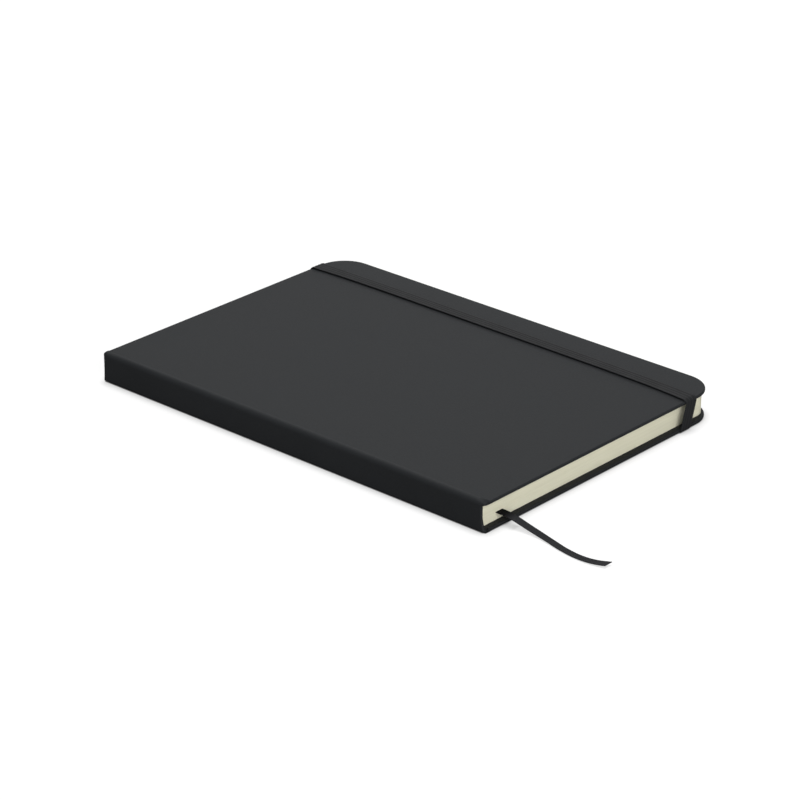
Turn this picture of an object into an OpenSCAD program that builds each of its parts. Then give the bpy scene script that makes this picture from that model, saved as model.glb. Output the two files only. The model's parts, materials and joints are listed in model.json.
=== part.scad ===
// Hardcover notebook with rounded fore corners, an elastic closing band and a
// ribbon bookmark. It lies closed, front cover up. X runs from the spine to the
// fore edge, Y from tail to head and Z up. The origin is under the middle.

/* [Book] */
// Height of the covers, from tail to head
book_l = 210; // [160:1:300]
// Width of the closed book, from spine to fore edge
book_w = 148; // [110:1:220]
// Thickness of the page block
block_t = 10; // [6:0.5:30]
// Radius of the covers' two fore corners
corner_r = 14; // [8:0.5:20]
// How far the covers stand out past the pages
square = 3; // [1.5:0.25:5]
// How far the covers' rounded corners stand out past the pages' corners
corner_square = 1.3; // [0.8:0.1:3]
// Rounding of the page block along its spine
block_round = 1.5; // [0.5:0.1:2.5]

/* [Covers] */
// Thickness of the covering sheet
skin_t = 0.3; // [0.2:0.05:0.4]
// Thickness of a cover board
board_t = 0.75; // [0.7:0.05:2]
// Thickness of an endpaper
paper_t = 0.15; // [0.1:0.05:0.25]
// Rounding of the covers' outer edges
edge_r = 0.6; // [0.3:0.05:0.65]
// Width of covering sheet folded in behind the boards
turn_in = 14; // [9:0.5:18]
// Rim of turned-in sheet that the endpaper leaves bare
paper_margin = 3.5; // [2:0.25:6]
// Gap between a board's back edge and its hinge line
joint_gap = 0.3; // [0.2:0.1:2]

/* [Spine] */
// Distance from the back of the spine to the hinge lines
hinge_in = 2.2; // [2.1:0.1:4]
// Rounding of the spine's upper edge
spine_top_r = 2; // [0.8:0.1:2]
// Rounding of the spine's lower edge
spine_low_r = 0.6; // [0.5:0.1:1.5]
// Thickness of the card strip inside the spine
spine_board_t = 0.8; // [0.5:0.05:1]
// Thickness of the cloth lining glued to the back of the pages
lining_t = 0.3; // [0.2:0.05:0.5]
// Gap between the lining and the spine's inside
hollow_gap = 0.1; // [0.05:0.05:0.3]
// How far the spine's tail end is pulled in at mid thickness
tail_scoop = 1.8; // [0:0.1:2.5]
// How far the spine's head end is pulled in at mid thickness
head_scoop = 0.1; // [0:0.1:2.5]
// Plan rounding of the spine's ends
cap_r = 0.8; // [0.5:0.1:2]

/* [Band] */
// Width of the elastic band
band_w = 6.3; // [4:0.1:10]
// Thickness of the stretched band
band_t = 0.8; // [0.5:0.05:1.2]
// Distance from the fore edge to the middle of the band
band_in = 17; // [15:0.5:30]
// How far the band's middle leans towards the fore edge at the head
band_lean = 0.75; // [0:0.05:1.5]
// How far the band is drawn towards the spine at both ends
band_pull = 1.7; // [0:0.1:2.5]
// How far each leg leans towards the spine on its way down
leg_lean = 3.4; // [0:0.1:5]
// Gap between the band and the covers it crosses
band_gap = 0.1; // [0.05:0.05:0.3]
// Thickness of the band where it is pressed under the back cover
press_t = 0.5; // [0.3:0.05:0.6]
// Distance from a cover's end to the slit that the band goes through
slit_in = 11.5; // [8:0.5:16]
// Clearance round the band in its slits and channels
slit_gap = 0.3; // [0.2:0.05:0.5]
// Length of the band's glued tail behind each slit
tail_l = 12; // [8:1:20]
// Thickness of the glued tail
tail_t = 0.4; // [0.3:0.05:0.5]

/* [Bookmark] */
// Width of the ribbon
ribbon_w = 4.2; // [3:0.1:5]
// Thickness of the ribbon
ribbon_t = 0.3; // [0.2:0.05:0.4]
// Clearance round the ribbon between the leaves
ribbon_gap = 0.15; // [0.1:0.05:0.3]

/* [Hidden] */

leather_colour = [0.17, 0.17, 0.18];
board_colour = [0.55, 0.52, 0.46];
paper_colour = [0.93, 0.90, 0.78];
elastic_colour = [0.08, 0.08, 0.09];
ribbon_colour = [0.12, 0.12, 0.13];
lining_colour = [0.85, 0.84, 0.80];

// Steps of a quarter arc
arc_n = 8;
// Reach of a cut past the solid that it opens
over = 1;

// Heights in a cover, from its outer face inwards
board_z0 = skin_t;
board_z1 = board_z0 + board_t;
lip_z1 = board_z1 + skin_t;
cover_t = lip_z1 + paper_t;
book_t = block_t + 2 * cover_t;

// Places across the book
half_l = book_l / 2;
fore_x = book_w / 2;
spine_x = -fore_x;
hinge_x = spine_x + hinge_in;
board_x = hinge_x + joint_gap;
// Running gap between the spine's sheet and the covers' sheets
hinge_gap = 0.05;
// Hairline round a board or endpaper in the sheet that it is glued to
glue_gap = 0.02;

// Layers of the spine, from its back inwards
spine_board_x = spine_x + skin_t;
spine_lip_x = spine_board_x + spine_board_t;
spine_in_x = spine_lip_x + skin_t;
lining_x = spine_in_x + hollow_gap;
block_x = lining_x + lining_t;
// Tilt of the spine's underside, so that the back cover opens past flat
spine_tilt = 5;
spine_foot = 0.02;
// How far the spine's ends stand in from the covers' ends
cap_in = 0.1;
// How steeply the scoop starts at the spine's upper and lower end
scoop_high = 7;
scoop_low = 1.6;

// The band
band_mid_x = fore_x - band_in;
leg_y = half_l + band_gap;
strand_z = book_t + band_gap;
slit_y = half_l - slit_in;
band_steps = 24;
// The strand bends to its slits only near its ends
pull_power = 6;

// The ribbon's straight run between the leaves, from the head to the tail
ribbon_z = cover_t + 3.2;
ribbon_start = [block_x + 4.3, half_l - 9, ribbon_z];
ribbon_exit = [block_x + 10.1, square + 1 - half_l, ribbon_z];
// Height of the ribbon's middle where it lies on the table
ribbon_rest = ribbon_t / 2 + 0.15;
// Its fall outside: place across from the pages' back, reach past the tail
// edge, and height as a share of the drop from its exit to the table
ribbon_fall = [
  [10.4, 0, 0.955], [10.9, 4.5, 0.75], [11.3, 10.2, 0.386], [11, 16.5, 0.148],
  [9.9, 23, 0.045], [8.4, 29.8, 0], [7.4, 36.8, 0], [7.3, 42.6, 0.045],
  [8, 47.3, 0.114], [9.3, 51, 0.18]
];
ribbon_out = concat(
  [ribbon_exit],
  [for (p = ribbon_fall)
    [block_x + p[0], -half_l - p[1], ribbon_rest + p[2] * (ribbon_z - ribbon_rest)]]
);
// Slant of the cut at the ribbon's free end
ribbon_cut = 0.7;

// Points of an arc round c, from angle a0 to a1
function arc(c, r, a0, a1, n = arc_n) =
  [for (i = [0:n]) let (a = a0 + (a1 - a0) * i / n) c + r * [cos(a), sin(a)]];

// Middle of the band over the front cover, at height y along the book
function band_x(y) =
  let (s = max(-1, min(1, y / half_l)))
    band_mid_x + band_lean * s - band_pull * pow(abs(s), pull_power);

// Middle of the band's pressed run, at the foot of the leg at one end
function foot_x(side) = band_x(side * half_l) - leg_lean;

// Half length of the spine at height z, less an inset, for one end's scoop
function cap_y(z, inset, scoop) =
  let (u = 2 * z / book_t - 1)
    half_l - cap_in - inset - scoop * (1 - pow(abs(u), u > 0 ? scoop_high : scoop_low));

// Height of the spine's tilted underside at x, raised by an inset
function low_z(x, inset) =
  spine_foot + (hinge_x - x) * tan(spine_tilt) + inset / cos(spine_tilt);

// Point of a smooth curve through b and c, at t from 0 to 1
function curve(a, b, c, d, t) =
  0.5 * (2 * b + (c - a) * t + (2 * a - 5 * b + 4 * c - d) * t * t
    + (3 * b - 3 * c + d - a) * t * t * t);

// A chain of points made smooth, with n steps to each stretch
function smooth(p, n) =
  let (last = len(p) - 1)
    concat(
      [for (i = [0:last - 1], j = [0:n - 1])
        curve(p[max(i - 1, 0)], p[i], p[i + 1], p[min(i + 2, last)], j / n)],
      [p[last]]
    );

function unit(v) = v / norm(v);

// Radius of the pages' fore corners, for the stand-out given to the covers' corners
page_corner_r = max(
  1,
  (sqrt(2) * (corner_r - square) - corner_r + min(corner_square, square)) / (sqrt(2) - 1)
);

// Plan of a cover, from back edge x0, drawn in by inset on its three free sides
function cover_outline(x0, inset, r) =
  let (y = half_l - inset - r, x = fore_x - inset - r)
    concat(
      [[x0, -half_l + inset]],
      arc([x, -y], r, -90, 0, 2 * arc_n),
      arc([x, y], r, 0, 90, 2 * arc_n),
      [[x0, half_l - inset]]
    );

// A plate with that plan, its corners concentric with the cover's unless given
module slab(x0, inset, z0, z1, r = 0) {
  translate([0, 0, z0])
    linear_extrude(z1 - z0)
      polygon(cover_outline(x0, inset, r > 0 ? r : max(corner_r - inset, 1)));
}

// A prism along X, from a profile of Y and Z
module along_x(x0, x1) {
  translate([x0, 0, 0])
    rotate([90, 0, 90])
      linear_extrude(x1 - x0)
        children();
}

// A prism along Y, from a profile of X and Z
module along_y(y0, y1) {
  translate([0, y1, 0])
    rotate([90, 0, 0])
      linear_extrude(y1 - y0)
        children();
}

// Outer end of a cover's section: flat faces that meet in two rounded edges
function edge_profile(x0, x1) =
  concat(
    [[x0, 0]],
    arc([x1 - edge_r, edge_r], edge_r, -90, 0),
    arc([x1 - edge_r, cover_t - edge_r], edge_r, 0, 90),
    [[x0, cover_t]]
  );

// Solid cover, outer face down: a middle, a fore bar and two round corners
module cover_plate() {
  corner_x = fore_x - corner_r;
  corner_y = half_l - corner_r;
  along_x(hinge_x, corner_x)
    polygon(concat(
      arc([half_l - edge_r, cover_t - edge_r], edge_r, 0, 90),
      arc([edge_r - half_l, cover_t - edge_r], edge_r, 90, 180),
      arc([edge_r - half_l, edge_r], edge_r, 180, 270),
      arc([half_l - edge_r, edge_r], edge_r, 270, 360)
    ));
  along_y(-corner_y, corner_y)
    polygon(edge_profile(corner_x, fore_x));
  for (side = [0, 1])
    translate([corner_x, (2 * side - 1) * corner_y, 0])
      rotate([0, 0, 90 * (side - 1)])
        rotate_extrude(angle = 90, $fn = 96)
          polygon(edge_profile(0, corner_r));
}

// Covering sheet of one cover: outer skin, rounded edges and turned-in rim
module wrap_sheet() {
  difference() {
    cover_plate();
    slab(hinge_x - over, skin_t, board_z0, board_z1);
    slab(hinge_x - over, turn_in, board_z1, cover_t + over);
    slab(hinge_x - over, paper_margin, lip_z1, cover_t + over);
  }
}

// Endpaper glued down on the turned-in rim and, a little deeper, on the board
module endpaper_sheet() {
  difference() {
    union() {
      slab(board_x, paper_margin + glue_gap, lip_z1, cover_t);
      slab(board_x, turn_in + glue_gap, board_z1, cover_t);
    }
    slab(board_x - over, turn_in + paper_t + glue_gap, board_z1 + paper_t, cover_t + over);
  }
}

// Turns a piece drawn outer face down into one of the front cover
module front_side() {
  translate([0, 0, book_t])
    mirror([0, 0, 1])
      children();
}

// A box across the band's path at the tail (side -1) or the head (side 1)
module band_box(side, gap, y0, y1, z0, z1) {
  x = foot_x(side);
  ya = min(side * y0, side * y1);
  translate([x - band_w / 2 - gap, ya, z0])
    cube([band_w + 2 * gap, y1 - y0, z1 - z0]);
}

// The pressed channel under the back cover, grown by the covering sheet
module band_channels(grow) {
  for (side = [-1, 1])
    band_box(side, slit_gap + grow, slit_y - grow, half_l + over, -over, press_t + grow);
}

// The slits that let the band through the back cover
module band_slits() {
  for (side = [-1, 1])
    band_box(side, slit_gap, slit_y - band_t / 2 - slit_gap, slit_y + band_t / 2 + slit_gap, -over, board_z1);
}

// The spine's section, drawn in by inset: round above, a tighter round below
function spine_profile(x1, inset) =
  concat(
    [[x1, book_t - inset]],
    arc([spine_x + spine_top_r, book_t - spine_top_r], spine_top_r - inset, 90, 180),
    arc(
      [spine_x + spine_low_r, low_z(spine_x + spine_low_r, spine_low_r)],
      spine_low_r - inset, 180, 270 - spine_tilt
    ),
    [[x1, low_z(x1, inset)]]
  );

// The room between the spine's scooped and rounded ends, drawn in by inset
module between_caps(x1, inset) {
  steps = 2 * arc_n;
  zs = [for (i = [0:steps]) book_t * i / steps];
  cap = half_l - cap_in - cap_r;
  intersection() {
    along_x(spine_x - over, x1)
      polygon(concat(
        [[-cap_y(0, inset, 0), -over]],
        [for (z = zs) [-cap_y(z, inset, tail_scoop), z]],
        [[-cap_y(0, inset, 0), book_t + over], [cap_y(0, inset, 0), book_t + over]],
        [for (i = [steps:-1:0]) [cap_y(zs[i], inset, head_scoop), zs[i]]],
        [[cap_y(0, inset, 0), -over]]
      ));
    translate([0, 0, -2 * over])
      linear_extrude(book_t + 4 * over)
        polygon(concat(
          [[x1 + over, inset - cap - cap_r]],
          arc([spine_x + cap_r, -cap], cap_r - inset, 270, 180),
          arc([spine_x + cap_r, cap], cap_r - inset, 180, 90),
          [[x1 + over, cap + cap_r - inset]]
        ));
  }
}

module page_block() {
  pages_y = half_l - square;
  run = ribbon_exit - ribbon_start;
  color(paper_colour)
    difference() {
      intersection() {
        slab(block_x, square, cover_t, cover_t + block_t, page_corner_r);
        along_y(-pages_y - over, pages_y + over)
          polygon(concat(
            [[fore_x, cover_t + block_t]],
            arc([block_x + block_round, cover_t + block_t - block_round], block_round, 90, 180),
            arc([block_x + block_round, cover_t + block_round], block_round, 180, 270),
            [[fore_x, cover_t]]
          ));
      }
      translate(ribbon_start)
        rotate([0, 0, atan2(run[1], run[0])])
          translate([-ribbon_gap, -ribbon_w / 2 - ribbon_gap, -ribbon_t / 2 - ribbon_gap])
            cube([norm(run) + square + over, ribbon_w + 2 * ribbon_gap, ribbon_t + 2 * ribbon_gap]);
    }
}

module spine_lining() {
  pages_y = half_l - square;
  color(lining_colour)
    translate([lining_x, -pages_y, cover_t + block_round])
      cube([lining_t, 2 * pages_y, block_t - 2 * block_round]);
}

module spine_board() {
  low = low_z(spine_x + spine_low_r, spine_low_r);
  color(board_colour)
    intersection() {
      translate([spine_board_x, -half_l, low])
        cube([spine_board_t, book_l, book_t - spine_top_r - low]);
      between_caps(hinge_x, skin_t);
    }
}

module spine_cover() {
  lip_low = low_z(spine_x + spine_low_r, spine_low_r);
  lip_high = book_t - spine_top_r;
  // The sheet's folds close the spine's corners past the pages' ends
  fold_l = square - glue_gap;
  color(leather_colour)
    difference() {
      intersection() {
        along_y(-half_l, half_l)
          polygon(spine_profile(hinge_x - hinge_gap, 0));
        between_caps(hinge_x, 0);
      }
      difference() {
        intersection() {
          along_y(-half_l - over, half_l + over)
            polygon(spine_profile(hinge_x + over, skin_t));
          union() {
            between_caps(spine_in_x + hollow_gap, skin_t);
            translate([spine_in_x, -half_l - 2 * over, -over])
              cube([hinge_in + over, book_l + 4 * over, book_t + 2 * over]);
          }
        }
        for (side = [0, 1]) {
          translate([spine_lip_x, side * (book_l - turn_in) - half_l, lip_low])
            cube([skin_t, turn_in, lip_high - lip_low]);
          for (fold_z = [0, book_t - cover_t])
            translate([spine_lip_x, side * (book_l - fold_l) - half_l, fold_z])
              cube([hinge_in, fold_l, cover_t]);
        }
      }
    }
}

module front_board() {
  color(board_colour)
    front_side()
      slab(board_x, skin_t + glue_gap, board_z0, board_z1);
}

module front_cover_wrap() {
  color(leather_colour)
    front_side()
      wrap_sheet();
}

module front_endpaper() {
  color(paper_colour)
    front_side()
      endpaper_sheet();
}

module back_board() {
  color(board_colour)
    difference() {
      slab(board_x, skin_t + glue_gap, board_z0, board_z1);
      band_channels(skin_t);
      band_slits();
      for (side = [-1, 1])
        band_box(side, slit_gap, slit_y - band_t / 2 - slit_gap - tail_l, slit_y, board_z1 - tail_t, board_z1 + over);
    }
}

module back_cover_wrap() {
  color(leather_colour)
    difference() {
      cover_plate();
      difference() {
        slab(hinge_x - over, skin_t, board_z0, board_z1);
        band_channels(skin_t);
      }
      slab(hinge_x - over, turn_in, board_z1, cover_t + over);
      slab(hinge_x - over, paper_margin, lip_z1, cover_t + over);
      band_channels(0);
      band_slits();
    }
}

module back_endpaper() {
  color(paper_colour)
    endpaper_sheet();
}

// The moving loop: the strand over the front and a leaning leg down past each end
module elastic_band() {
  bend_r = band_t + edge_r;
  outer_y = leg_y + band_t;
  outer_z = strand_z + band_t;
  knee_z = outer_z - bend_r;
  half_w = band_w / 2;
  ys = [for (i = [0:band_steps]) (2 * i / band_steps - 1) * half_l];
  color(elastic_colour)
    intersection() {
      along_x(0, fore_x)
        polygon(concat(
          [[outer_y, 0]],
          arc([outer_y - bend_r, knee_z], bend_r, 0, 90),
          arc([bend_r - outer_y, knee_z], bend_r, 90, 180),
          [[-outer_y, 0], [-leg_y, 0]],
          arc([edge_r - leg_y, strand_z - edge_r], edge_r, 180, 90),
          arc([leg_y - edge_r, strand_z - edge_r], edge_r, 90, 0),
          [[leg_y, 0]]
        ));
      union() {
        translate([0, 0, knee_z])
          linear_extrude(bend_r + over)
            polygon(concat(
              [[band_x(-half_l) - half_w, -outer_y - over]],
              [for (y = ys) [band_x(y) - half_w, y]],
              [[band_x(half_l) - half_w, outer_y + over], [band_x(half_l) + half_w, outer_y + over]],
              [for (i = [band_steps:-1:0]) [band_x(ys[i]) + half_w, ys[i]]],
              [[band_x(-half_l) + half_w, -outer_y - over]]
            ));
        for (side = [-1, 1])
          along_y(min(side, 0) * (outer_y + over), max(side, 0) * (outer_y + over))
            polygon([
              [foot_x(side) - half_w, 0], [foot_x(side) + half_w, 0],
              [band_x(side * half_l) + half_w, knee_z], [band_x(side * half_l) - half_w, knee_z]
            ]);
      }
    }
}

// The fixed ends: a pressed run under the back cover, up the slit, glued tail
module band_ends() {
  color(elastic_colour)
    for (side = [-1, 1]) {
      band_box(side, 0, slit_y - band_t / 2, leg_y, 0, press_t);
      band_box(side, 0, slit_y - band_t / 2, slit_y + band_t / 2, 0, board_z1);
      band_box(side, 0, slit_y - band_t / 2 - tail_l, slit_y, board_z1 - tail_t, board_z1);
    }
}

// One ring of the ribbon's flat eight-sided section; the free end is cut aslant
module bookmark_ribbon() {
  line = concat([ribbon_start], smooth(ribbon_out, 2));
  last = len(line) - 1;
  a = ribbon_w / 2;
  c = ribbon_t / 2;
  section = [
    [a, 0.4 * c], [0.85 * a, c], [-0.85 * a, c], [-a, 0.4 * c],
    [-a, -0.4 * c], [-0.85 * a, -c], [0.85 * a, -c], [a, -0.4 * c]
  ];
  sides = len(section);
  points = [
    for (i = [0:last])
      let (
        dir = unit(line[min(i + 1, last)] - line[max(i - 1, 0)]),
        across = unit(cross(dir, [0, 0, 1])),
        up = cross(across, dir)
      )
        for (s = section)
          line[i] + s[0] * across + s[1] * up - (i == last ? ribbon_cut * s[0] * dir : [0, 0, 0])
  ];
  color(ribbon_colour)
    polyhedron(
      points = points,
      faces = concat(
        [[for (k = [0:sides - 1]) k]],
        [for (i = [0:last - 1], k = [0:sides - 1])
          [i * sides + k, (i + 1) * sides + k, (i + 1) * sides + (k + 1) % sides, i * sides + (k + 1) % sides]],
        [[for (k = [sides - 1:-1:0]) last * sides + k]]
      )
    );
}

page_block();
spine_lining();
spine_board();
spine_cover();
front_board();
front_cover_wrap();
front_endpaper();
back_board();
back_cover_wrap();
back_endpaper();
elastic_band();
band_ends();
bookmark_ribbon();
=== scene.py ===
"""Looks of a hardcover notebook: leatherette case, pages, closing band, ribbon."""
import json
import logging
import math
from dataclasses import dataclass
from enum import Enum
from functools import cache

import bpy
import numpy as np
from mathutils import Matrix, Vector

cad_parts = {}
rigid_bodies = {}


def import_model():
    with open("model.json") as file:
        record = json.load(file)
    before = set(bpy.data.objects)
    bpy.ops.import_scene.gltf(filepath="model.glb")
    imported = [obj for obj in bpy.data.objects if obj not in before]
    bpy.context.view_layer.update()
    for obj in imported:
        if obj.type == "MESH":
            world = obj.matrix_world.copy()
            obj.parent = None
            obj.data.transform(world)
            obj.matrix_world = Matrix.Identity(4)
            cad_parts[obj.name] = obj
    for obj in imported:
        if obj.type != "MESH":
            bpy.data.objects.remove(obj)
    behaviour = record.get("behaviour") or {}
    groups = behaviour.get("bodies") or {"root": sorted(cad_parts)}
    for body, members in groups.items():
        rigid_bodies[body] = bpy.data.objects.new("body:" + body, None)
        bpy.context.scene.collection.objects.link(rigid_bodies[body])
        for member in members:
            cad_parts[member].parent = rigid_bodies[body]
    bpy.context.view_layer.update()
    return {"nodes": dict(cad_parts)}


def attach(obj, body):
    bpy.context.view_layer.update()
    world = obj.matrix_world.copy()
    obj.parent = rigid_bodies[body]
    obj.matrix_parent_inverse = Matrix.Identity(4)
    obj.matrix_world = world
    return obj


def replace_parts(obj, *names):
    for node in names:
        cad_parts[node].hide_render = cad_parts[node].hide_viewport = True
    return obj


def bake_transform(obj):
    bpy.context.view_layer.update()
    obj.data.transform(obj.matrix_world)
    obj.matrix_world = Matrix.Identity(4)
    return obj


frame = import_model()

log = logging.getLogger("notebook")
MM = 0.001
Colour = tuple[float, float, float]
Point = tuple[float, float, float]
Spot = tuple[float, float]
Socket = bpy.types.NodeSocket
Sockets = bpy.types.bpy_prop_collection
Piece = bpy.types.Object


class Slot(Enum):
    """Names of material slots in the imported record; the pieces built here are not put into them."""

    LEATHERETTE = "charcoal_leatherette"
    PAPER = "cream_paper"
    ELASTIC = "black_elastic"
    RIBBON = "black_ribbon"


class Graph:
    """Short calls for laying shader nodes in one node tree."""

    MIX_A, MIX_B, MIX_RESULT = 6, 7, 2

    def __init__(self, tree: bpy.types.NodeTree) -> None:
        """Keep the tree that the nodes go into."""
        self.tree = tree

    def node(self, kind: str, **values: object) -> bpy.types.Node:
        """Add a node.

        Args:
            kind: Blender's type name of the node.
            **values: Attributes of the node to set.

        Returns:
            The new node.
        """
        made = self.tree.nodes.new(kind)
        for name, value in values.items():
            setattr(made, name, value)
        return made

    def put(self, socket: Socket, value: object) -> None:
        """Link a socket to an input, or set the input to a constant.

        Args:
            socket: The input.
            value: The socket or the constant; a colour's alpha is left out.
        """
        if isinstance(value, Socket):
            self.tree.links.new(value, socket)
        elif isinstance(value, tuple) and len(value) == 3 and socket.type == "RGBA":
            socket.default_value = (*value, 1.0)
        else:
            socket.default_value = value

    def fill(self, node: bpy.types.Node, **values: object) -> None:
        """Fill a node's named inputs, with _ for a space in a name."""
        for name, value in values.items():
            self.put(node.inputs[name.replace("_", " ")], value)

    def math(self, operation: str, a: object, b: object = 0.0) -> Socket:
        """Lay a Math node.

        Args:
            operation: Blender's name of the operation.
            a: First socket or constant.
            b: Second socket or constant.

        Returns:
            The result.
        """
        made = self.node("ShaderNodeMath", operation=operation)
        self.put(made.inputs[0], a)
        self.put(made.inputs[1], b)
        return made.outputs[0]

    def times(self, a: object, b: object) -> Socket:
        """Return a times b."""
        return self.math("MULTIPLY", a, b)

    def weigh(self, a: object, share_a: float, b: object, share_b: float) -> Socket:
        """Return the sum of a and b, each times its share."""
        return self.math("ADD", self.times(a, share_a), self.times(b, share_b))

    def span(self, value: object, low: float, high: float, start: float = 0.0, end: float = 1.0) -> Socket:
        """Move a value smoothly from one range to another, and clamp it.

        Args:
            value: The value.
            low: Lower end of its range.
            high: Upper end of its range.
            start: Result at the lower end.
            end: Result at the upper end.

        Returns:
            The result.
        """
        made = self.node("ShaderNodeMapRange", interpolation_type="SMOOTHSTEP")
        self.fill(made, Value=value, From_Min=low, From_Max=high, To_Min=start, To_Max=end)
        return made.outputs["Result"]

    def mix(self, factor: object, a: object, b: object) -> Socket:
        """Turn one colour into another.

        Args:
            factor: Share of the second colour.
            a: First colour.
            b: Second colour.

        Returns:
            The mixed colour.
        """
        made = self.node("ShaderNodeMix", data_type="RGBA")
        self.put(made.inputs["Factor"], factor)
        self.put(made.inputs[self.MIX_A], a)
        self.put(made.inputs[self.MIX_B], b)
        return made.outputs[self.MIX_RESULT]

    def noise(self, vector: object, scale: object, detail: float = 3.0, roughness: float = 0.5) -> Socket:
        """Lay a noise texture.

        Args:
            vector: Where it is read.
            scale: Its cells per metre.
            detail: Layers of finer noise on it.
            roughness: How strong the finer layers are.

        Returns:
            Its value.
        """
        made = self.node("ShaderNodeTexNoise")
        self.fill(made, Vector=vector, Scale=scale, Detail=detail, Roughness=roughness)
        return made.outputs["Fac"]

    def stretch(self, vector: object, factors: Point) -> Socket:
        """Multiply each part of a vector.

        Args:
            vector: The vector.
            factors: A factor for X, Y and Z.

        Returns:
            The new vector.
        """
        made = self.node("ShaderNodeVectorMath", operation="MULTIPLY")
        self.put(made.inputs[0], vector)
        self.put(made.inputs[1], factors)
        return made.outputs[0]

    def parts(self, vector: object) -> tuple[Socket, ...]:
        """Take a vector apart.

        Args:
            vector: The vector.

        Returns:
            Its X, Y and Z.
        """
        made = self.node("ShaderNodeSeparateXYZ")
        self.put(made.inputs[0], vector)
        return tuple(made.outputs)

    def group(self, tree: bpy.types.NodeTree, **values: object) -> Sockets:
        """Place a node group.

        Args:
            tree: The group.
            **values: What its inputs are given, with _ for a space in a name.

        Returns:
            Its outputs.
        """
        made = self.node("ShaderNodeGroup", node_tree=tree)
        self.fill(made, **values)
        return made.outputs


def fresh_graph(owner: bpy.types.Material | bpy.types.World) -> Graph:
    """Empty the node tree of a material or a world.

    Args:
        owner: The material or the world.

    Returns:
        A Graph on the empty tree.
    """
    owner.use_nodes = True
    owner.node_tree.nodes.clear()
    return Graph(owner.node_tree)


def new_group(
    name: str, values: dict[str, float], results: tuple[str, ...]
) -> tuple[bpy.types.NodeTree, Graph, Sockets, Sockets]:
    """Make an empty shader node group with a Vector input.

    Args:
        name: Name of the group.
        values: Names of its other inputs, each with its default.
        results: Names of its outputs.

    Returns:
        The group, a Graph on it, the sockets it is given and the sockets it puts out.
    """
    tree = bpy.data.node_groups.new(name, "ShaderNodeTree")
    tree.interface.new_socket("Vector", in_out="INPUT", socket_type="NodeSocketVector")
    for label, value in values.items():
        socket = tree.interface.new_socket(label, in_out="INPUT", socket_type="NodeSocketFloat")
        socket.default_value = value
    for label in results:
        tree.interface.new_socket(label, in_out="OUTPUT", socket_type="NodeSocketFloat")
    graph = Graph(tree)
    return tree, graph, graph.node("NodeGroupInput").outputs, graph.node("NodeGroupOutput").inputs


class Effects:
    """Shader node groups that the finishes share, each built once."""

    @staticmethod
    @cache
    def grain() -> bpy.types.NodeTree:
        """Build the pebble grain of coated cover cloth.

        Returns:
            The group, with Height and Tone from 0 to 1.
        """
        tree, g, given, out = new_group("Pebble grain", {"Pebble": 1400.0}, ("Height", "Tone"))
        cells = g.node("ShaderNodeTexVoronoi", feature="SMOOTH_F1")
        g.fill(cells, Vector=given["Vector"], Scale=given["Pebble"], Smoothness=0.35)
        fine = g.noise(given["Vector"], g.times(given["Pebble"], 2.7), 4.0, 0.6)
        crown = g.math("SUBTRACT", 1.0, cells.outputs["Distance"])
        g.put(out["Height"], g.weigh(crown, 0.75, fine, 0.25))
        g.put(out["Tone"], g.times(crown, fine))
        return tree

    @staticmethod
    @cache
    def drift() -> bpy.types.NodeTree:
        """Build the slow unevenness of a surface.

        Returns:
            The group, with Cloud from broad noise and Dust from rare fine specks.
        """
        sizes = {"Cloud size": 24.0, "Dust size": 2600.0}
        tree, g, given, out = new_group("Cloud and dust", sizes, ("Cloud", "Dust"))
        g.put(out["Cloud"], g.noise(given["Vector"], given["Cloud size"], 3.0, 0.55))
        specks = g.noise(given["Vector"], given["Dust size"], 1.0, 0.5)
        g.put(out["Dust"], g.span(specks, 0.74, 0.8))
        return tree

    @staticmethod
    @cache
    def weave() -> bpy.types.NodeTree:
        """Build a plain weave over UV given in metres.

        Returns:
            The group, with Height and Thread from 0 to 1.
        """
        threads = {"Along": 3000.0, "Across": 2000.0}
        tree, g, given, out = new_group("Thread weave", threads, ("Height", "Thread"))
        u, v, _ = g.parts(given["Vector"])
        warp = g.math("SINE", g.times(v, g.times(given["Across"], 2 * math.pi)))
        weft = g.math("SINE", g.times(u, g.times(given["Along"], 2 * math.pi)))
        over = g.times(warp, weft)
        g.put(out["Height"], g.weigh(g.math("ABSOLUTE", warp), 0.65, over, 0.35))
        g.put(out["Thread"], g.span(over, -1.0, 1.0))
        return tree


def new_finish(name: str, **fixed: object) -> tuple[bpy.types.Material, Graph, bpy.types.Node]:
    """Make a material with a Principled shader.

    Args:
        name: Name of the material.
        **fixed: Constant inputs of the shader, with _ for a space in a name.

    Returns:
        The material, a Graph on it and its Principled node.
    """
    material = bpy.data.materials.new(name)
    graph = fresh_graph(material)
    shader = graph.node("ShaderNodeBsdfPrincipled")
    graph.put(graph.node("ShaderNodeOutputMaterial").inputs["Surface"], shader.outputs[0])
    graph.fill(shader, **fixed)
    return material, graph, shader


def bump(graph: Graph, shader: bpy.types.Node, height: Socket, depth: float, strength: float) -> None:
    """Give a shader relief.

    Args:
        graph: Graph of the shader's material.
        shader: The shader.
        height: Height of the surface, from 0 to 1.
        depth: How far that stands out, in metres.
        strength: How strongly it is shown.
    """
    relief = graph.node("ShaderNodeBump")
    graph.fill(relief, Height=height, Distance=depth, Strength=strength)
    graph.put(shader.inputs["Normal"], relief.outputs["Normal"])


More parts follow.
